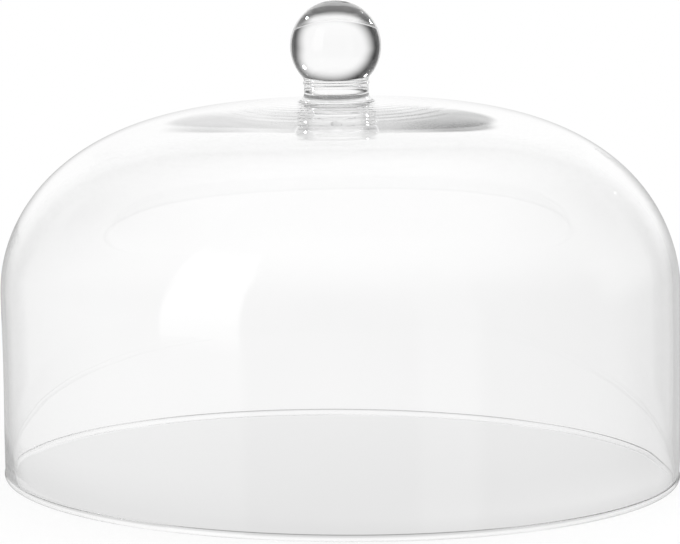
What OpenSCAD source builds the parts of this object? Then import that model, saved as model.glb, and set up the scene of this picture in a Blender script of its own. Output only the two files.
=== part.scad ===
// Clear glass dome for serving food: a blown bell with a straight wall, a full shoulder and a
// nearly flat crown. A solid ball knob stands on the crown on a short flared collar. The dome has
// no floor, and rests on its fire-polished rim. The origin is the centre of the rim on the table.

/* [Bell] */
// Outside diameter of the bell
bell_d = 300; // [240:1:340]
// Height of the crown's outside above the table
crown_h = 166; // [150:1:190]
// Height at which the straight wall turns into the shoulder
wall_h = 82; // [60:1:110]
// Squareness of the shoulder, where 2 is an ellipse and more is a fuller corner
shoulder_power = 3; // [2.4:0.1:3.6]
// Thickness of the glass in the wall
wall_t = 2.8; // [2.8:0.1:4]
// Thickness of the glass in the middle of the crown, where the bell was gathered
crown_t = 7; // [4:0.5:10]
// Rounding of each edge of the fire-polished rim
rim_round = 1.3; // [0.6:0.1:1.3]

/* [Knob] */
// Diameter of the solid ball
ball_d = 40; // [34:1:46]
// Diameter of the neck under the ball
neck_d = 28.3; // [24:0.1:29]
// Height of the neck's top above the crown
neck_h = 9.1; // [9:0.1:14]
// Radius of the cove between the neck and the ball
cove_r = 2.8; // [1:0.1:4]
// How far the fine ring at the neck's top stands out
ring_proud = 0.45; // [0.3:0.05:0.5]
// Radius of the ring's rounding in section
ring_r = 0.9; // [0.7:0.1:0.9]
// Diameter of the foot where the collar spreads on the crown
foot_d = 36.4; // [34:0.2:38]
// Height of the foot's rounded edge
foot_h = 2.6; // [1.6:0.1:2.6]
// Radius of the hollow flare between the foot and the neck
flare_r = 4.5; // [3.5:0.1:4.6]

/* [Hidden] */
$fn = 180;
// Straight steps along a shoulder, and along a small rounding
shoulder_steps = 40;
round_steps = 8;
clear_glass = [0.86, 0.93, 0.94, 0.4];

bell_r = bell_d / 2;
mouth_r = bell_r - wall_t;
ball_r = ball_d / 2;
neck_r = neck_d / 2;
foot_r = foot_d / 2;

// Rise of the shoulder and crown above the wall, outside and inside
outer_rise = crown_h - wall_h;
inner_rise = outer_rise - crown_t;

// The collar stands on a flat seat, where the crown was pressed level under it
seat_r = foot_r + 1;
seat_angle = acos(pow(seat_r / bell_r, shoulder_power / 2));
seat_z = wall_h + outer_rise * sin(seat_angle);

// The ring is a round that stands out of the neck, with its upper edge at the neck's top
ring_x = neck_r + ring_proud - ring_r;
ring_a = acos((ring_r - ring_proud) / ring_r);
ring_z = neck_h - ring_r * sin(ring_a);

// The flare is tangent to the neck and to the rounded edge of the foot
edge_r = foot_h / 2;
edge_x = foot_r - edge_r;
flare_x = neck_r + flare_r;
flare_z = edge_r + sqrt(pow(flare_r + edge_r, 2) - pow(flare_x - edge_x, 2));
flare_a = atan2(flare_z - edge_r, flare_x - edge_x);

// The cove runs from the neck to the ball, tangent to both
cove_x = neck_r + cove_r;
cove_to_ball = ball_r + cove_r;
cove_angle = acos(cove_x / cove_to_ball);
ball_z = seat_z + neck_h + cove_to_ball * sin(cove_angle);
ball_seat_z = ball_z - ball_r * sin(cove_angle);

// Points of a circular arc, from angle a0 to angle a1. The first one is left out where the arc goes
// on from another
function arc(centre, radius, a0, a1, first = 0) =
    [for (i = [first : round_steps])
        let (a = a0 + (a1 - a0) * i / round_steps)
        centre + radius * [cos(a), sin(a)]];

// Shoulder and crown in section: a superellipse that leaves the wall at angle 0 and reaches the
// axis at angle 90
function shoulder(radius, rise, a0, a1) =
    [for (i = [0 : shoulder_steps])
        let (a = a0 + (a1 - a0) * i / shoulder_steps)
        [radius * pow(cos(a), 2 / shoulder_power), wall_h + rise * sin(a)]];

// Section of the bell: crown seat, outside, rim and inside. The inside has a lower rise than the
// outside, so the glass thickens from the wall to the crown
module bell_section() {
    polygon(concat(
        [[0, seat_z]],
        shoulder(bell_r, outer_rise, seat_angle, 0),
        arc([bell_r - rim_round, rim_round], rim_round, 0, -90),
        arc([mouth_r + rim_round, rim_round], rim_round, -90, -180),
        shoulder(mouth_r, inner_rise, 0, 90)
    ));
}

// Section of the collar above its seat: foot, flare, ring and cove
module collar_section() {
    polygon(concat(
        [[0, 0]],
        arc([edge_x, edge_r], edge_r, -90, flare_a),
        arc([flare_x, flare_z], flare_r, 180 + flare_a, 180, 1),
        arc([ring_x, ring_z], ring_r, -ring_a, ring_a),
        arc([cove_x, neck_h], cove_r, 180, 180 - cove_angle, 1),
        [[0, ball_seat_z - seat_z]]
    ));
}

// Blown bell with its rim
module dome_shell() {
    color(clear_glass)
        rotate_extrude()
            bell_section();
}

// Flared collar between the crown and the ball
module knob_collar() {
    color(clear_glass)
        translate([0, 0, seat_z])
            rotate_extrude()
                collar_section();
}

// Solid ball, flat where it joins the collar
module knob_ball() {
    color(clear_glass)
        difference() {
            translate([0, 0, ball_z])
                sphere(r = ball_r);
            translate([-ball_r, -ball_r, ball_seat_z - ball_d])
                cube(ball_d);
        }
}

dome_shell();
knob_collar();
knob_ball();
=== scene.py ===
"""Looks of a clear blown-glass cake dome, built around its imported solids.

The bell, the flared collar and the ball knob are turned as smooth closed glass, with the small
unevenness of hand work, and stand in a white studio. Every size is in metres.
"""

import logging
import math
from dataclasses import dataclass
from enum import Enum, IntEnum
from typing import Any, Mapping, Sequence, Union

import bmesh
import bpy
from mathutils import Matrix, Vector


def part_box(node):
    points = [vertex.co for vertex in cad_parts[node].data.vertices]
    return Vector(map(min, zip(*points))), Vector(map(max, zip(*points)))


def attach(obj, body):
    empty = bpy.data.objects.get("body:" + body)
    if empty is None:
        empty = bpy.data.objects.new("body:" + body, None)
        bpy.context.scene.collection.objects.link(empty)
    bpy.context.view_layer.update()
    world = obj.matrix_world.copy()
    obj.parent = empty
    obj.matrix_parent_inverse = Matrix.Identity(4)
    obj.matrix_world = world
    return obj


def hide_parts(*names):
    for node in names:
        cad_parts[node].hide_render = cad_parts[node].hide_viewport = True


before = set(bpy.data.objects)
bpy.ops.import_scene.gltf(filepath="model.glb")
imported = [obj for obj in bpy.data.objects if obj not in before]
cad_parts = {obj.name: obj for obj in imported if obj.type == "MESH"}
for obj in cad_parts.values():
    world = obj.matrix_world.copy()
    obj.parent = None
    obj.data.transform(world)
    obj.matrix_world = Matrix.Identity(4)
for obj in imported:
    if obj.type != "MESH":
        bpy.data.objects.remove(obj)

log = logging.getLogger("cake_dome")

Point = tuple[float, float]
Colour = tuple[float, float, float, float]
Value = Union["Sock", float, int]

LEVEL_GAP = 1e-6
WELD_GAP = 1e-7
GLASS_BOUNCES = 64
WHITE: Colour = (1.0, 1.0, 1.0, 1.0)


def grey(level: float) -> Colour:
    """Give an opaque neutral colour of one linear level."""
    return (level, level, level, 1.0)


def sine(degrees: float) -> float:
    """Give the sine of an angle in degrees."""
    return math.sin(math.radians(degrees))


def cosine(degrees: float) -> float:
    """Give the cosine of an angle in degrees."""
    return math.cos(math.radians(degrees))


def share(value: float, start: float, end: float) -> float:
    """Give how far a value is on the way from start to end, kept between 0 and 1."""
    return min(max((value - start) / (end - start), 0.0), 1.0)


class Slot(IntEnum):
    """Places in a glass piece's list of materials."""

    GLASS = 0
    FUSED = 1


class RayKind(Enum):
    """Light Path outputs that the finishes tell apart."""

    CAMERA = "Is Camera Ray"
    SHADOW = "Is Shadow Ray"
    DIFFUSE = "Is Diffuse Ray"
    GLOSSY = "Is Glossy Ray"
    TRANSMISSION = "Is Transmission Ray"
    DEPTH = "Ray Depth"


class Faces(IntEnum):
    """How many faces of glass a ray has met by the time it leaves for the sky."""

    SKIN = 3
    BELL = 4
    KNOB = 5


# Shader trees


class Sock:
    """An output socket of a shader tree that can be used in arithmetic."""

    def __init__(self, tree: "ShaderTree", socket: bpy.types.NodeSocket) -> None:
        """Wrap one output socket of a tree."""
        self.tree = tree
        self.socket = socket

    def other(self, name: str) -> "Sock":
        """Give another output of the same node."""
        return Sock(self.tree, self.socket.node.outputs[name])

    def _math(self, operation: str, first: Value, second: Value) -> "Sock":
        """Add a Math node over two values."""
        return self.tree.add(
            "ShaderNodeMath", {"operation": operation}, {0: first, 1: second}
        )

    def __add__(self, value: Value) -> "Sock":
        """Add a value."""
        return self._math("ADD", self, value)

    __radd__ = __add__

    def __sub__(self, value: Value) -> "Sock":
        """Take a value away."""
        return self._math("SUBTRACT", self, value)

    def __rsub__(self, value: Value) -> "Sock":
        """Take this from a value."""
        return self._math("SUBTRACT", value, self)

    def __mul__(self, value: Value) -> "Sock":
        """Multiply by a value."""
        return self._math("MULTIPLY", self, value)

    __rmul__ = __mul__

    def __truediv__(self, value: Value) -> "Sock":
        """Divide by a value."""
        return self._math("DIVIDE", self, value)

    def __mod__(self, value: Value) -> "Sock":
        """Give the rest of a division."""
        return self._math("MODULO", self, value)

    def most(self, value: Value) -> "Sock":
        """Give the larger of this and a value."""
        return self._math("MAXIMUM", self, value)

    def below(self, value: Value) -> "Sock":
        """Give 1 where this is less than a value, and 0 elsewhere."""
        return self._math("LESS_THAN", self, value)

    def power(self, value: Value) -> "Sock":
        """Raise to a power."""
        return self._math("POWER", self, value)

    def root(self) -> "Sock":
        """Give the square root."""
        return self._math("SQRT", self, 0.0)

    def size(self) -> "Sock":
        """Give the value without its sign."""
        return self._math("ABSOLUTE", self, 0.0)


class ShaderTree:
    """The node tree of a material or a world, emptied and rebuilt."""

    def __init__(self, owner: Union[bpy.types.Material, bpy.types.World]) -> None:
        """Turn nodes on for the owner and clear its tree.

        Args:
            owner: material or world that the tree belongs to.
        """
        owner.use_nodes = True
        self.tree = owner.node_tree
        self.tree.nodes.clear()

    def add(
        self,
        kind: str,
        settings: Mapping[str, Any] | None = None,
        sockets: Mapping[Union[str, int], Any] | None = None,
        out: Union[str, int] = 0,
    ) -> Sock:
        """Add one node of any type.

        Args:
            kind: node type.
            settings: properties set before the sockets; stops are a ramp's positions and colours.
            sockets: values or links of the inputs, by name or place.
            out: output that is handed back.

        Returns:
            The chosen output.
        """
        node = self.tree.nodes.new(kind)
        for name, value in (settings or {}).items():
            if name == "stops":
                self._stops(node.color_ramp, value)
            else:
                setattr(node, name, value)
        for name, value in (sockets or {}).items():
            if isinstance(value, Sock):
                self.tree.links.new(value.socket, node.inputs[name])
            else:
                node.inputs[name].default_value = value
        return Sock(self, node.outputs[out])

    def _stops(self, ramp: bpy.types.ColorRamp, stops: Sequence[tuple[float, Colour]]) -> None:
        """Give a ramp its stops, from first to last.

        Args:
            ramp: ramp of a node.
            stops: positions from 0 to 1, each with its colour.
        """
        while len(ramp.elements) < len(stops):
            ramp.elements.new(1.0)
        for element, (position, colour) in zip(ramp.elements, stops):
            element.position = position
            element.color = colour

    def levels(self, stops: Sequence[Point], at: Value) -> Sock:
        """Give a level that runs through a row of stops.

        Args:
            stops: places from 0 to 1, each with its level.
            at: place that is looked up.

        Returns:
            The level at that place.
        """
        colours = [(position, grey(level)) for position, level in stops]
        ramp = self.add("ShaderNodeValToRGB", {"stops": colours}, {0: at})
        return self.add("ShaderNodeRGBToBW", None, {0: ramp})

    def radius(self) -> Sock:
        """Give the distance of a shaded point from its object's origin."""
        place = self.add("ShaderNodeTexCoord", out="Object")
        return self.add("ShaderNodeVectorMath", {"operation": "LENGTH"}, {0: place}, out="Value")

    def ray(self, *kinds: RayKind) -> Sock:
        """Give a mask that is 1 for rays of any of these kinds, or the depth of a ray.

        Args:
            kinds: outputs that are looked up.

        Returns:
            The largest of the outputs.
        """
        paths = self.add("ShaderNodeLightPath")
        masks = [paths.other(kind.value) for kind in kinds]
        mask = masks[0]
        for other in masks[1:]:
            mask = mask.most(other)
        return mask

    def rise(self, value: Value, low: Value, high: Value) -> Sock:
        """Give a smooth step from 0 at low to 1 at high."""
        return self.add(
            "ShaderNodeMapRange",
            {"interpolation_type": "SMOOTHSTEP"},
            {"Value": value, "From Min": low, "From Max": high},
        )

    def band(self, value: Value, low: float, high: float, edge: float) -> Sock:
        """Give a smooth band that is 1 from low to high, with soft edges."""
        start = self.rise(value, low - edge, low + edge)
        return start * (1 - self.rise(value, high - edge, high + edge))

    def mix(self, factor: Value, first: Sock, second: Sock) -> Sock:
        """Mix two shaders by a factor."""
        return self.add("ShaderNodeMixShader", None, {0: factor, 1: first, 2: second})

    def finish(self, surface: Sock, kind: str = "ShaderNodeOutputMaterial") -> None:
        """Link a surface to the tree's output node."""
        node = self.tree.nodes.new(kind)
        self.tree.links.new(surface.socket, node.inputs["Surface"])


# Finishes


@dataclass(frozen=True)
class ClearGlass:
    """Fire-polished clear glass, with the faint waves of hot work and a trace of handling."""

    name: str
    tint: Colour = (0.998, 0.998, 0.998, 1.0)
    tint_deep: Colour = (0.992, 0.992, 0.992, 1.0)
    tint_range: Point = (0.35, 0.65)
    index: float = 1.5
    wave_scale: float = 22.0
    wave_detail: float = 1.0
    wave_rough: float = 0.4
    wave_height: float = 0.00003
    haze_scale: float = 60.0
    haze_detail: float = 3.0
    haze_from: float = 0.55
    haze: float = 0.012
    shade: float = 0.9

    def material(self) -> bpy.types.Material:
        """Build the glass.

        Returns:
            A material that lets lamp light straight through as a pale shade.
        """
        material = bpy.data.materials.new(self.name)
        tree = ShaderTree(material)
        place = tree.add("ShaderNodeTexCoord", out="Object")
        waves = tree.add(
            "ShaderNodeTexNoise",
            None,
            {
                "Vector": place,
                "Scale": self.wave_scale,
                "Detail": self.wave_detail,
                "Roughness": self.wave_rough,
            },
        )
        stops = list(zip(self.tint_range, (self.tint, self.tint_deep)))
        tint = tree.add("ShaderNodeValToRGB", {"stops": stops}, {0: waves})
        smears = tree.add(
            "ShaderNodeTexNoise",
            None,
            {"Vector": place, "Scale": self.haze_scale, "Detail": self.haze_detail},
        )
        normal = tree.add(
            "ShaderNodeBump",
            None,
            {"Strength": 1.0, "Distance": self.wave_height, "Height": waves},
        )
        glass = tree.add(
            "ShaderNodeBsdfPrincipled",
            None,
            {
                "Base Color": tint,
                "Roughness": (smears - self.haze_from).most(0.0) * self.haze,
                "IOR": self.index,
                "Transmission Weight": 1.0,
                "Normal": normal,
            },
        )
        through = tree.add("ShaderNodeBsdfTransparent", None, {"Color": grey(self.shade)})
        lit = tree.ray(RayKind.SHADOW, RayKind.DIFFUSE)
        tree.finish(tree.mix(lit, glass, through))
        return material


@dataclass(frozen=True)
class FusedFace:
    """Where two pieces of hot glass ran together, so that nothing shows inside."""

    name: str

    def material(self) -> bpy.types.Material:
        """Build the see-through joint.

        Returns:
            A material that light passes unchanged.
        """
        material = bpy.data.materials.new(self.name)
        tree = ShaderTree(material)
        tree.finish(tree.add("ShaderNodeBsdfTransparent", None, {"Color": WHITE}))
        return material


@dataclass(frozen=True)
class FloorPaint:
    """White matt floor that keeps a faint shadow near the dome and runs out to plain white."""

    name: str = "floor_paint"
    level: float = 0.9
    near: float = 0.8
    near_radius: float = 0.2
    far_radius: float = 0.45

    def material(self) -> bpy.types.Material:
        """Build the paint.

        Returns:
            A matt material that the camera sees mostly as an even white.
        """
        material = bpy.data.materials.new(self.name)
        tree = ShaderTree(material)
        matt = tree.add("ShaderNodeBsdfDiffuse", None, {"Color": grey(self.level)})
        glow = tree.add("ShaderNodeEmission", None, {"Color": WHITE, "Strength": 1.0})
        white = tree.rise(tree.radius(), self.near_radius, self.far_radius)
        white = self.near + white * (1 - self.near)
        tree.finish(tree.mix(tree.ray(RayKind.CAMERA) * white, matt, glow))
        return material


@dataclass(frozen=True)
class StandPaint:
    """White stand under the dome, whose glow seen through glass is painted light: a painted sheen
    and painted shade, brighter at a flat angle than from above, and painted white outside the
    mouth.
    """

    mouth: float
    name: str = "stand_paint"
    level: float = 0.9
    camera: float = 0.8
    glass: float = 0.8
    facing_blend: float = 0.5
    # Painted sheen and shade: glow levels by how flat a ray meets the stand, brightest at a flat
    # angle like a satin reflection and dark when looked straight down on, in place of the dome's
    # shadow.
    painted_sheen_and_shade: tuple[Point, ...] = (
        (0.13, 1.0),
        (0.158, 0.95),
        (0.22, 0.79),
        (0.45, 0.62),
        (0.55, 0.28),
        (0.7, 0.08),
    )
    # Painted light outside the mouth: past the dome's rim the glow runs to white at flat angles, so
    # the stand inside looks shaded.
    mouth_edge: float = 0.001
    outside: Point = (0.3, 0.55)

    def material(self) -> bpy.types.Material:
        """Build the paint.

        Returns:
            A material that glows with painted sheen and painted shade where glass shows it, and
            keeps part of the dome's real shadow in its matt share.
        """
        material = bpy.data.materials.new(self.name)
        tree = ShaderTree(material)
        matt = tree.add("ShaderNodeBsdfDiffuse", None, {"Color": grey(self.level)})
        glow = tree.add("ShaderNodeEmission", None, {"Color": WHITE, "Strength": 1.0})
        facing = tree.add("ShaderNodeLayerWeight", None, {"Blend": self.facing_blend}, "Facing")
        # Painted sheen and shade: the glow's level follows the angle at which the ray meets the
        # stand.
        painted_sheen_and_shade = tree.levels(self.painted_sheen_and_shade, 1 - facing)
        # Painted light: outside the mouth, at flat angles, the glow is lifted to white.
        white = tree.rise(tree.radius(), self.mouth, self.mouth + self.mouth_edge)
        white = white * (1 - tree.rise(1 - facing, *self.outside))
        painted_sheen_and_shade = painted_sheen_and_shade + white * (1 - painted_sheen_and_shade)
        painted_sheen_glow = tree.add("ShaderNodeEmission", None, {"Color": painted_sheen_and_shade, "Strength": 1.0})
        seen = tree.mix(tree.ray(RayKind.CAMERA) * self.camera, matt, glow)
        # Rays through glass see mostly the painted glow; the matt rest keeps the real shadow.
        tree.finish(tree.mix(tree.ray(RayKind.TRANSMISSION) * self.glass, seen, painted_sheen_glow))
        return material


# Turned meshes


def arc(centre: Point, radius: float, start: float, end: float, steps: int) -> list[Point]:
    """Give points of a circular arc.

    Args:
        centre: radius and height of the arc's centre.
        radius: radius of the arc.
        start: first angle in degrees, from the outward direction.
        end: last angle in degrees.
        steps: number of straight steps.

    Returns:
        Points as radius and height.
    """
    angles = [math.radians(start + (end - start) * i / steps) for i in range(steps + 1)]
    return [
        (centre[0] + radius * math.cos(a), centre[1] + radius * math.sin(a)) for a in angles
    ]


def turned(section: Sequence[Point], steps: int) -> bmesh.types.BMesh:
    """Spin a half section about the upright axis.

    Args:
        section: points as radius and height, from axis to axis.
        steps: number of steps round.

    Returns:
        A closed mesh whose faces point outwards.
    """
    bm = bmesh.new()
    verts = [bm.verts.new((r, 0.0, z)) for r, z in section]
    edges = [bm.edges.new(pair) for pair in zip(verts, verts[1:])]
    bmesh.ops.spin(
        bm,
        geom=verts + edges,
        cent=(0.0, 0.0, 0.0),
        axis=(0.0, 0.0, 1.0),
        dvec=(0.0, 0.0, 0.0),
        angle=math.tau,
        steps=steps,
        use_merge=True,
        use_duplicate=False,
    )
    bmesh.ops.remove_doubles(bm, verts=bm.verts, dist=WELD_GAP)
    bmesh.ops.recalc_face_normals(bm, faces=bm.faces)
    return bm


def placed(name: str, bm: bmesh.types.BMesh) -> bpy.types.Object:
    """Turn a finished bmesh into an object at the origin.

    Args:
        name: name of the piece.
        bm: mesh, which is freed.

    Returns:
        The linked object.
    """
    mesh = bpy.data.meshes.new(name)
    bm.to_mesh(mesh)
    bm.free()
    piece = bpy.data.objects.new(name, mesh)
    bpy.context.scene.collection.objects.link(piece)
    return piece


@dataclass(frozen=True)
class HandWork:
    """How far the blown piece is out of true: above the rim it leans towards one side."""

    lean_deg: float = 1.15
    lean_from: float = 0.02
    lean_full: float = 0.12

    def shape(self, bm: bmesh.types.BMesh) -> None:
        """Tip every vertex about the table's Y axis, more with height.

        Args:
            bm: mesh of a piece at its true place.
        """
        full = math.radians(self.lean_deg)
        for vert in bm.verts:
            x, y, z = vert.co
            t = share(z, self.lean_from, self.lean_full)
            angle = full * t * t * (3 - 2 * t)
            vert.co = (x - angle * z, y, z + angle * x)


@dataclass
class GlassPiece:
    """A closed piece of glass that stands for one solid of the frame."""

    node: str
    slot: str
    glass: bpy.types.Material
    fused: bpy.types.Material
    hand: HandWork
    steps: int = 288

    def section(self) -> list[Point]:
        """Give the half section, from axis to axis."""
        raise NotImplementedError

    def joints(self) -> list[Point]:
        """Give each fused disc as its radius and height."""
        raise NotImplementedError

    def mesh(self) -> bmesh.types.BMesh:
        """Make the piece's mesh at its true place."""
        return turned(self.section(), self.steps)

    def build(self) -> bpy.types.Object:
        """Make the piece, smooth outside and flat where it is fused to the next.

        Returns:
            The object, dressed and riding on the root body.
        """
        bm = self.mesh()
        for face in bm.faces:
            face.smooth = True
        for radius, height in self.joints():
            self.fuse(bm, radius, height)
        self.hand.shape(bm)
        return self.dress(placed(f"{self.node}_glass", bm))

    def fuse(self, bm: bmesh.types.BMesh, radius: float, height: float) -> None:
        """Mark a level disc as fused, with a sharp edge round it.

        Args:
            bm: mesh of the piece.
            radius: radius of the disc.
            height: height of the disc.
        """
        disc = []
        for face in bm.faces:
            middle = face.calc_center_median()
            if abs(middle.z - height) < LEVEL_GAP and middle.xy.length < radius:
                disc.append(face)
        for face in disc:
            face.material_index = Slot.FUSED
            face.smooth = False
        for edge in {edge for face in disc for edge in face.edges}:
            edge.smooth = all(f.material_index == Slot.FUSED for f in edge.link_faces)

    def dress(self, piece: bpy.types.Object) -> bpy.types.Object:
        """Give the piece its materials and its place in the frame.

        Args:
            piece: finished object.

        Returns:
            The same object.
        """
        for material in (self.glass, self.fused):
            piece.data.materials.append(material)
        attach(piece, "root")
        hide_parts(self.node)
        log.info("%s: %d faces", piece.name, len(piece.data.polygons))
        return piece


@dataclass
class Bell(GlassPiece):
    """Blown bell: straight wall, full shoulder, nearly flat crown and fire-polished rim."""

    radius: float = 0.15
    mouth: float = 0.1472
    wall_height: float = 0.082
    wall_steps: int = 12
    outer_rise: float = 0.084
    inner_rise: float = 0.077
    power: float = 3.0
    lip_round: float = 0.0018
    lip_steps: int = 36
    lip_fillet: float = 0.0005
    fillet_steps: int = 8
    wall_shift: float = -0.0006
    shift_from: Point = (0.004, 0.014)
    draw_in: float = 0.0005
    draw_height: float = 0.035
    joint_radius: float = 0.0182
    seat_radius: float = 0.0192
    seat: float = 0.1659
    crown_radius: float = 0.11
    outer_step: float = 0.0009
    inner_step: float = 0.0025
    shoulder_steps: int = 40
    ripple_height: float = 0.00004
    ripple_pitch: float = 0.0058
    ripple_band: Point = (0.02, 0.062)

    def height(self, radius: float, reach: float, rise: float) -> float:
        """Give the height of a shoulder curve at a radius."""
        return self.wall_height + rise * math.sqrt(max(1 - (radius / reach) ** self.power, 0))

    def ripple(self, radius: float) -> float:
        """Give the tool marks on the crown, as rings round the knob.

        Args:
            radius: distance from the axis.

        Returns:
            Height above the plain crown.
        """
        first, last = self.ripple_band
        if not first < radius < last:
            return 0.0
        fade = math.sin(math.pi * share(radius, first, last)) ** 2
        return self.ripple_height * fade * math.sin(math.tau * (radius - first) / self.ripple_pitch)

    def crown(self, reach: float, rise: float, start: float, step: float) -> list[Point]:
        """Give crown points at even radii, out to where the shoulder begins.

        Args:
            reach: radius of the wall below the shoulder.
            rise: height of the crown above the wall.
            start: first radius.
            step: distance between points, at least.

        Returns:
            Points as radius and height.
        """
        count = max(int((self.crown_radius - start) / step), 1)
        radii = [start + (self.crown_radius - start) * i / count for i in range(count + 1)]
        return [(r, self.height(r, reach, rise)) for r in radii]

    def shoulder(self, reach: float, rise: float) -> list[Point]:
        """Give shoulder points from the crown down to the wall, at even angles.

        Args:
            reach: radius of the wall below the shoulder.
            rise: height of the crown above the wall.

        Returns:
            Points as radius and height.
        """
        first = math.acos((self.crown_radius / reach) ** (self.power / 2))
        angles = [first * (1 - i / self.shoulder_steps) for i in range(1, self.shoulder_steps + 1)]
        return [
            (reach * math.cos(a) ** (2 / self.power), self.wall_height + rise * math.sin(a))
            for a in angles
        ]

    def lip(self) -> list[Point]:
        """Give the fire-polished lip: a round bead that runs into the wall by a small hollow.

        Returns:
            Points from the outside of the wall to its inside.
        """
        middle, half = (self.radius + self.mouth) / 2, (self.radius - self.mouth) / 2
        hollow_x = half + self.lip_fillet
        rise = math.sqrt((self.lip_round + self.lip_fillet) ** 2 - hollow_x**2)
        turn = math.degrees(math.atan2(rise, hollow_x))
        hollow = (hollow_x, self.lip_round + rise)
        side = arc(hollow, self.lip_fillet, 180, 180 + turn, self.fillet_steps)
        outer = [(middle + reach, z) for reach, z in side]
        inner = [(middle - reach, z) for reach, z in reversed(side)]
        centre = (middle, self.lip_round)
        bead = arc(centre, self.lip_round, turn, -180 - turn, self.lip_steps)
        return outer + bead[1:-1] + inner

    def section(self) -> list[Point]:
        """Give the section over the crown, down the outside, round the rim and up the inside.

        Returns:
            Points as radius and height.
        """
        outside = self.crown(self.radius, self.outer_rise, self.seat_radius, self.outer_step)
        outside = [(r, z + self.ripple(r)) for r, z in outside]
        outside[0] = (self.seat_radius, self.seat)
        lip = self.lip()
        lip_top = lip[0][1]
        drop = (self.wall_height - lip_top) / self.wall_steps
        walls = [self.wall_height - drop * i for i in range(1, self.wall_steps)]
        inside = self.crown(self.mouth, self.inner_rise, 0.0, self.inner_step)
        inside += self.shoulder(self.mouth, self.inner_rise)
        return [
            (0.0, self.seat),
            (self.joint_radius, self.seat),
            *outside,
            *self.shoulder(self.radius, self.outer_rise),
            *[(self.radius, z) for z in walls],
            *lip,
            *[(self.mouth, z) for z in reversed(walls)],
            *reversed(inside),
        ]

    def mesh(self) -> bmesh.types.BMesh:
        """Make the bell, a little drawn in at the rim and with its inside off the axis.

        Returns:
            The closed mesh.
        """
        bm = super().mesh()
        skin = (self.radius - self.mouth) / 3
        for vert in bm.verts:
            radius, z = vert.co.xy.length, vert.co.z
            if z < self.wall_height:
                depth = share(radius, self.radius, self.mouth) * share(z, *self.shift_from)
                draw = self.draw_in * max(1 - z / self.draw_height, 0.0) ** 2
                vert.co.xy *= 1 - draw / self.radius
            else:
                inside = z < self.height(radius, self.radius, self.outer_rise) - skin
                depth = float(inside) * max(1 - (z - self.wall_height) / self.inner_rise, 0.0)
            vert.co.x += self.wall_shift * depth
        return bm

    def joints(self) -> list[Point]:
        """Give the disc on the crown where the collar is fused."""
        return [(self.joint_radius, self.seat)]


@dataclass
class Collar(GlassPiece):
    """Flared collar: a hollow flare that runs out on the crown, a fine ring and a cove."""

    steps: int = 192
    seat: float = 0.1659
    neck_radius: float = 0.01415
    neck_height: float = 0.0091
    cove: float = 0.0028
    ring_proud: float = 0.00045
    ring_round: float = 0.0009
    foot_radius: float = 0.0182
    ball_radius: float = 0.02
    flare_steps: int = 24
    round_steps: int = 12

    @property
    def cove_angle(self) -> float:
        """Angle in degrees at which the cove meets the ball."""
        return math.degrees(
            math.acos((self.neck_radius + self.cove) / (self.ball_radius + self.cove))
        )

    @property
    def ball_centre(self) -> float:
        """Height of the ball's centre."""
        reach = self.ball_radius + self.cove
        return self.seat + self.neck_height + reach * sine(self.cove_angle)

    @property
    def ball_seat(self) -> float:
        """Height of the disc where the ball is fused to the collar."""
        return self.ball_centre - self.ball_radius * sine(self.cove_angle)

    @property
    def ball_joint(self) -> float:
        """Radius of the disc where the ball is fused to the collar."""
        return self.ball_radius * cosine(self.cove_angle)

    def section(self) -> list[Point]:
        """Give the section from the crown up to the ball.

        Returns:
            Points as radius and height.
        """
        flare = self.foot_radius - self.neck_radius
        ring_turn = math.degrees(math.acos(1 - self.ring_proud / self.ring_round))
        ring = (
            self.neck_radius + self.ring_proud - self.ring_round,
            self.neck_height - self.ring_round * sine(ring_turn),
        )
        hollow = (self.neck_radius + self.cove, self.neck_height)
        curve = [
            *arc((self.foot_radius, flare), flare, -90, -180, self.flare_steps),
            *arc(ring, self.ring_round, -ring_turn, ring_turn, self.round_steps),
            *arc(hollow, self.cove, 180, 180 - self.cove_angle, self.round_steps)[1:],
        ]
        return [
            (0.0, self.seat),
            *[(r, self.seat + z) for r, z in curve],
            (0.0, self.ball_seat),
        ]

    def joints(self) -> list[Point]:
        """Give the discs under the foot and under the ball."""
        return [(self.foot_radius, self.seat), (self.ball_joint, self.ball_seat)]


@dataclass
class Ball(GlassPiece):
    """Solid ball that is held, cut flat where it is fused to the collar."""

    steps: int = 192
    rings: int = 112
    radius: float = 0.02
    centre: float = 0.19
    seat: float = 0.1764
    joint_radius: float = 0.01468

    def mesh(self) -> bmesh.types.BMesh:
        """Make a sphere, cut it level and close the cut.

        Returns:
            The closed mesh.
        """
        bm = bmesh.new()
        bmesh.ops.create_uvsphere(
            bm, u_segments=self.steps, v_segments=self.rings, radius=self.radius
        )
        bmesh.ops.translate(bm, verts=bm.verts, vec=(0.0, 0.0, self.centre))
        cut = bmesh.ops.bisect_plane(
            bm,
            geom=bm.verts[:] + bm.edges[:] + bm.faces[:],
            plane_co=(0.0, 0.0, self.seat),
            plane_no=(0.0, 0.0, 1.0),
            clear_inner=True,
        )
        edges = [g for g in cut["geom_cut"] if isinstance(g, bmesh.types.BMEdge)]
        bmesh.ops.contextual_create(bm, geom=edges)
        bmesh.ops.recalc_face_normals(bm, faces=bm.faces)
        return bm

    def joints(self) -> list[Point]:
        """Give the disc where the ball stands on the collar."""
        return [(self.joint_radius, self.seat)]


# Studio


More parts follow.
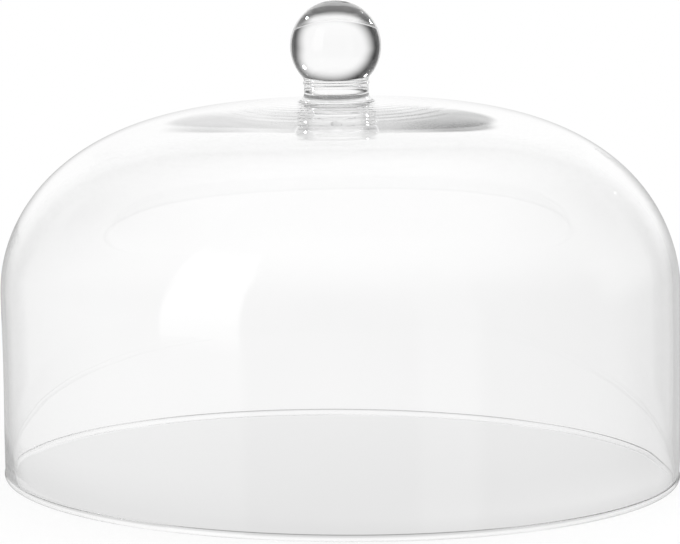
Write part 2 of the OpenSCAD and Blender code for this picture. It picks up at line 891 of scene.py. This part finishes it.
@dataclass
class Camera:
    """Camera at the photograph's viewing angle."""

    place: tuple[float, float, float] = (-0.00145, -1.5, 0.29)
    pitch_deg: float = 7.59
    roll_deg: float = 0.25
    focal_px: float = 3418.0
    width_px: float = 680.0
    sensor: float = 36.0
    far: float = 50.0

    def build(self) -> bpy.types.Object:
        """Make the camera and give it to the scene.

        Returns:
            The camera.
        """
        data = bpy.data.cameras.new("camera")
        data.sensor_width = self.sensor
        data.lens = self.focal_px / self.width_px * self.sensor
        data.clip_end = self.far
        camera = bpy.data.objects.new("camera", data)
        camera.location = self.place
        level = Matrix.Rotation(math.radians(90 - self.pitch_deg), 3, "X")
        roll = Matrix.Rotation(math.radians(self.roll_deg), 3, "Z")
        camera.rotation_euler = (level @ roll).to_euler()
        bpy.context.scene.collection.objects.link(camera)
        bpy.context.scene.camera = camera
        return camera


@dataclass(frozen=True)
class Lamp:
    """A soft rectangular lamp, placed by its bearing from the dome's axis."""

    name: str
    bearing_deg: float
    distance: float
    height: float
    size: Point
    radiance: float
    aim_height: float = 0.1
    spread_deg: float = 180.0
    mirrored: bool = True
    refracted: bool = True

    def build(self) -> bpy.types.Object:
        """Make the lamp, unseen by the camera itself.

        Returns:
            The lamp, facing the axis at its aim height.
        """
        data = bpy.data.lights.new(self.name, "AREA")
        data.shape = "RECTANGLE"
        data.size, data.size_y = self.size
        data.energy = self.radiance * math.pi * self.size[0] * self.size[1]
        data.spread = math.radians(self.spread_deg)
        lamp = bpy.data.objects.new(self.name, data)
        bearing = math.radians(self.bearing_deg)
        place = Vector((math.sin(bearing), math.cos(bearing), 0.0)) * self.distance
        place.z = self.height
        lamp.location = place
        facing = place - Vector((0.0, 0.0, self.aim_height))
        lamp.rotation_euler = facing.to_track_quat("Z", "Y").to_euler()
        lamp.visible_camera = False
        lamp.visible_glossy = self.mirrored
        lamp.visible_transmission = self.refracted
        bpy.context.scene.collection.objects.link(lamp)
        return lamp


LAMPS = (
    Lamp(
        name="top_lamp",
        bearing_deg=0.0,
        distance=0.01,
        height=1.3,
        size=(1.6, 1.6),
        radiance=1.2,
        mirrored=False,
        refracted=False,
    ),
    Lamp(
        name="left_rim_lamp",
        bearing_deg=-48.0,
        distance=0.82,
        height=0.76,
        size=(0.13, 0.16),
        radiance=0.3,
        aim_height=0.2,
        spread_deg=5.0,
    ),
    Lamp(
        name="right_rim_lamp",
        bearing_deg=38.0,
        distance=0.93,
        height=0.55,
        size=(0.18, 0.12),
        radiance=0.3,
        aim_height=0.2,
        spread_deg=5.0,
    ),
)


@dataclass(frozen=True)
class Way:
    """Direction in which a ray leaves for the sky: its parts, its bearing and its climb."""

    x: Sock
    y: Sock
    up: Sock
    turn: Sock
    climb: Sock

    @classmethod
    def of(cls, tree: ShaderTree) -> "Way":
        """Add the nodes that give the direction to a world's tree.

        Args:
            tree: node tree of the world.

        Returns:
            The direction, as sockets.
        """
        x = tree.add(
            "ShaderNodeSeparateXYZ", None, {0: tree.add("ShaderNodeTexCoord", out="Generated")}
        )
        y, up = x.other("Y"), x.other("Z")
        turn = tree.add("ShaderNodeMath", {"operation": "ARCTAN2"}, {0: x, 1: y})
        climb = tree.add("ShaderNodeMath", {"operation": "ARCSINE"}, {0: up})
        return cls(x, y, up, turn, climb)


@dataclass(frozen=True)
class Oval:
    """A dark round in the sky, as one face of the crown mirrors it."""

    rise_deg: float
    side: float
    wide: float
    tall: float
    lean: float

    def reach(self, way: Way) -> Sock:
        """Give the distance from the oval's middle, which is 1 at its edge.

        Args:
            way: direction of the ray.

        Returns:
            The distance.
        """
        lift = way.up * cosine(self.rise_deg) - way.y * sine(self.rise_deg) - way.x * self.lean
        across = (way.x - self.side) / self.wide
        return (across.power(2.0) + (lift / self.tall).power(2.0)).root()


@dataclass(frozen=True)
class Sky:
    """Room round the dome: a white window in the solid knob, toned walls in the bell's skin."""

    soft: float = 0.75
    window_deg: tuple[float, float, float] = (43.0, 30.0, 37.0)
    window_tilt_deg: float = -3.8
    window_lean: Point = (0.23, 0.4)
    window_power: float = 3.0
    window_edge: Point = (0.6, 1.25)
    window_end_deg: Point = (66.0, 76.0)
    window_top_deg: Point = (42.0, 52.0)
    shade_outer: Oval = Oval(rise_deg=20.0, side=-0.004, wide=0.136, tall=0.206, lean=0.33)
    shade_inner: Oval = Oval(rise_deg=15.8, side=-0.004, wide=0.093, tall=0.145, lean=0.33)
    shade_edge: Point = (0.93, 1.05)
    shade_low_deg: Point = (7.0, 16.0)
    shade_reach: float = 0.15
    shade_levels: tuple[Point, ...] = (
        (-0.085, 0.4),
        (-0.06, 0.8),
        (-0.035, 0.62),
        (0.03, 0.55),
        (0.045, 0.4),
        (0.068, 0.03),
    )
    back_edge: Point = (0.0, 0.3)
    back_climb: Point = (-0.05, 0.15)
    front_climb: Point = (-0.1, 0.8)
    front_sky: Point = (-0.3, 0.9)
    overhead_edge: Point = (0.7, 0.9)
    overhead: float = 0.2
    flank_deg: Point = (22.0, 45.0)
    flank_top_deg: Point = (30.0, 55.0)
    flank_level: float = 0.6
    patch_deg: Point = (-147.0, -118.5)
    patch_soft_deg: float = 1.0
    patch_low_deg: Point = (-11.0, -8.2)
    patch_climb: Point = (-0.12, 0.15)
    patch_top_deg: Point = (37.0, 51.0)
    patch_levels: Point = (0.55, 0.3)
    right_edge: Point = (0.0, 0.12)
    right_shade: float = 0.03
    low_shade_deg: Point = (-7.3, -5.6)
    low_shade: float = 0.02
    corner_deg: Point = (20.0, 40.0)
    corner_low: Point = (-0.09, -0.03)
    corner_back: Point = (0.1, 0.35)
    corner_shade: float = 0.95
    corner_share: float = 0.6
    steep_edge: Point = (0.4, 0.5)
    steep_shade: float = 0.35
    wall_mirror: tuple[Point, ...] = (
        (-180.0, 0.35),
        (-150.0, 0.35),
        (-146.0, 0.6),
        (-118.0, 0.65),
        (-60.0, 0.66),
        (-45.0, 0.7),
        (-25.0, 0.5),
        (-8.0, 0.5),
        (0.0, 1.0),
        (8.0, 0.5),
        (22.0, 0.52),
        (45.0, 0.5),
        (60.0, 0.32),
        (100.0, 0.2),
        (130.0, 0.18),
        (136.0, 0.5),
        (152.0, 0.5),
        (156.0, 0.3),
        (180.0, 0.35),
    )

    def above(self, tree: ShaderTree, way: Way, edge_deg: Point) -> Sock:
        """Give a smooth step between two heights, in degrees above the level."""
        return tree.rise(way.up, *(sine(angle) for angle in edge_deg))

    def aside(self, tree: ShaderTree, way: Way, edge_deg: Point) -> Sock:
        """Give a smooth step between two bearings, in degrees to either side of the back."""
        return tree.rise(way.turn.size(), *(math.radians(angle) for angle in edge_deg))

    def met(self, depth: Sock, faces: Faces) -> Sock:
        """Give a mask of the rays that have met this many faces of glass."""
        return depth.below(faces + 1.5) - depth.below(faces + 0.5)

    def window(self, tree: ShaderTree, way: Way) -> Sock:
        """Give the white window with rounded corners that solid glass shows in a dark room.

        Args:
            tree: node tree of the world.
            way: direction of the ray.

        Returns:
            Light from 0 to 1.
        """
        side, low, high = (math.radians(angle) for angle in self.window_deg)
        lift = way.climb - math.radians(self.window_tilt_deg)
        upright = (lift / (high + lift.below(0.0) * (low - high))).size()
        fall_lean, rise_lean = self.window_lean
        lean = way.climb.most(0.0) * rise_lean + (0 - way.climb).most(0.0) * fall_lean
        across = ((way.turn - lean) / side).size()
        reach = across.power(self.window_power) + upright.power(self.window_power)
        dark = tree.rise(reach.power(1 / self.window_power), *self.window_edge)
        dark = dark * (1 - self.aside(tree, way, self.window_end_deg))
        top = tree.rise(way.climb, *(math.radians(angle) for angle in self.window_top_deg))
        return 1 - dark * (1 - top)

    def shade(self, tree: ShaderTree, way: Way, skin: Sock) -> Sock:
        """Give the light left by the dark round behind that both faces of the crown mirror.

        Args:
            tree: node tree of the world.
            way: direction of the ray.
            skin: mask of the rays that came back from a wall's inner face.

        Returns:
            Light from 0 to 1.
        """
        outer, inner = self.shade_outer.reach(way), self.shade_inner.reach(way)
        reach = outer + skin * (inner - outer)
        inside = (1 - tree.rise(reach, *self.shade_edge)) * tree.rise(way.y, *self.back_edge)
        inside = inside * self.above(tree, way, self.shade_low_deg)
        width = 2 * self.shade_reach
        stops = [(at / width + 0.5, level) for at, level in self.shade_levels]
        return 1 - inside * (1 - tree.levels(stops, way.x / width + 0.5))

    def patch(self, tree: ShaderTree, way: Way) -> Sock:
        """Give the soft window that the front of the bell mirrors, fading towards the floor.

        Args:
            tree: node tree of the world.
            way: direction of the ray.

        Returns:
            Light that the patch adds to the room.
        """
        first, last = (math.radians(angle) for angle in self.patch_deg)
        wide = tree.band(way.turn, first, last, math.radians(self.patch_soft_deg))
        low, more = self.patch_levels
        tall = self.above(tree, way, self.patch_low_deg) * low
        tall = tall + tree.rise(way.up, *self.patch_climb) * more
        return wide * tall * (1 - self.above(tree, way, self.patch_top_deg))

    def mirror(self, tree: ShaderTree, way: Way, skin: Sock) -> Sock:
        """Give the room that the bell's skin mirrors: walls below, climbing to a white sky.

        Args:
            tree: node tree of the world.
            way: direction of the ray.
            skin: mask of the rays that came back from a wall's inner face.

        Returns:
            Light of the room.
        """
        stops = [(angle / 360 + 0.5, level) for angle, level in self.wall_mirror]
        wall = tree.levels(stops, way.turn / math.tau + 0.5)
        back = tree.rise(way.y, *self.back_edge)
        sky = back + (1 - back) * tree.rise(way.up, *self.front_sky)
        sky = sky + tree.rise(way.up, *self.overhead_edge) * self.overhead
        climb = tree.rise(way.up, *self.back_climb) * back
        climb = climb + tree.rise(way.up, *self.front_climb) * (1 - back)
        flank = self.aside(tree, way, self.flank_deg) * back
        flank = flank * (1 - self.above(tree, way, self.flank_top_deg))
        sky = sky * (1 - flank * (1 - self.flank_level)) * self.shade(tree, way, skin)
        return wall + climb * (sky - wall) + self.patch(tree, way)

    def plain(self, tree: ShaderTree, way: Way) -> Sock:
        """Give the white behind the bell, a little toned on the right and below.

        Args:
            tree: node tree of the world.
            way: direction of the ray.

        Returns:
            Light just under 1.
        """
        low = 1 - self.above(tree, way, self.low_shade_deg)
        right = tree.rise(way.x, *self.right_edge)
        return 1 - right * self.right_shade - low * self.low_shade

    def corner(self, tree: ShaderTree, way: Way) -> Sock:
        """Give the shade at both sides of the back, which darkens the knob's corners."""
        wide = self.aside(tree, way, self.corner_deg) * tree.rise(way.up, *self.corner_low)
        return wide * self.corner_shade * tree.rise(way.y, *self.corner_back)

    def build(self) -> None:
        """Make the world, which tells rays apart by how often they have met glass."""
        world = bpy.data.worlds.new("studio_sky")
        bpy.context.scene.world = world
        tree = ShaderTree(world)
        way = Way.of(tree)
        depth = tree.ray(RayKind.DEPTH)
        skin, bell, knob = (self.met(depth, faces) for faces in Faces)
        solid = (depth % 2) * (1 - bell)
        corner = self.corner(tree, way)
        steep = tree.rise(way.up, *self.steep_edge)
        knob_shade = knob * (corner * self.corner_share).most(steep * self.steep_shade)
        plain = self.plain(tree, way) * (1 - knob_shade)
        through = solid * self.window(tree, way) + (1 - solid - skin) * plain
        passed = tree.ray(RayKind.TRANSMISSION)
        bounced = tree.ray(RayKind.GLOSSY) * (1 - passed)
        bright = 1 - corner.most(steep * self.corner_shade)
        light = tree.ray(RayKind.CAMERA) + tree.ray(RayKind.DIFFUSE) * self.soft
        light = light + passed * through + bounced * skin * bright
        mirrored = bounced * (1 - skin) + passed * skin
        light = light + mirrored * self.mirror(tree, way, skin)
        tree.finish(
            tree.add("ShaderNodeBackground", None, {"Color": WHITE, "Strength": light}),
            "ShaderNodeOutputWorld",
        )


@dataclass
class Studio:
    """White studio: a floor that keeps a faint shadow, lamps and sky."""

    stand_radius: float = 0.155
    floor_radius: float = 1.4
    floor_drop: float = 0.0002
    steps: int = 96
    lamps: tuple[Lamp, ...] = LAMPS

    def ring(
        self, name: str, section: Sequence[Point], paint: bpy.types.Material
    ) -> bpy.types.Object:
        """Turn an open section into a piece of the stage that no mirror shows.

        Args:
            name: name of the piece.
            section: points as radius and height.
            paint: finish of the piece.

        Returns:
            The stage piece.
        """
        piece = placed(name, turned(section, self.steps))
        piece.data.materials.append(paint)
        piece.visible_glossy = False
        return piece

    def build(self) -> None:
        """Make the stage, the lamps and the sky."""
        level = -self.floor_drop
        inner, outer = (self.stand_radius, level), (self.floor_radius, level)
        self.ring("stand", [(0.0, level), inner], StandPaint(Bell.mouth).material())
        floor = self.ring("floor", [inner, outer], FloorPaint().material())
        floor.visible_transmission = False
        for lamp in self.lamps:
            lamp.build()
        Sky().build()


def main() -> None:
    """Build the dome piece by piece, then the studio and the camera."""
    logging.basicConfig(level=logging.INFO, format="%(name)s: %(message)s")
    bpy.context.scene.view_settings.view_transform = "Standard"
    cycles = bpy.context.scene.cycles
    cycles.max_bounces = cycles.transmission_bounces = cycles.glossy_bounces = GLASS_BOUNCES
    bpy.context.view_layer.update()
    blown = ClearGlass("blown_glass_clear").material()
    solid = ClearGlass("solid_glass_clear").material()
    fused = FusedFace("fused_joint").material()
    hand = HandWork()
    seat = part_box("dome_shell")[1].z
    collar = Collar("knob_collar", "solid_glass", solid, fused, hand, seat=seat)
    Bell(
        "dome_shell",
        "blown_glass",
        blown,
        fused,
        hand,
        joint_radius=collar.foot_radius,
        seat=seat,
    ).build()
    collar.build()
    Ball(
        "knob_ball",
        "solid_glass",
        solid,
        fused,
        hand,
        radius=collar.ball_radius,
        centre=collar.ball_centre,
        seat=collar.ball_seat,
        joint_radius=collar.ball_joint,
    ).build()
    Studio().build()
    Camera().build()


if __name__ == "__main__":
    main()
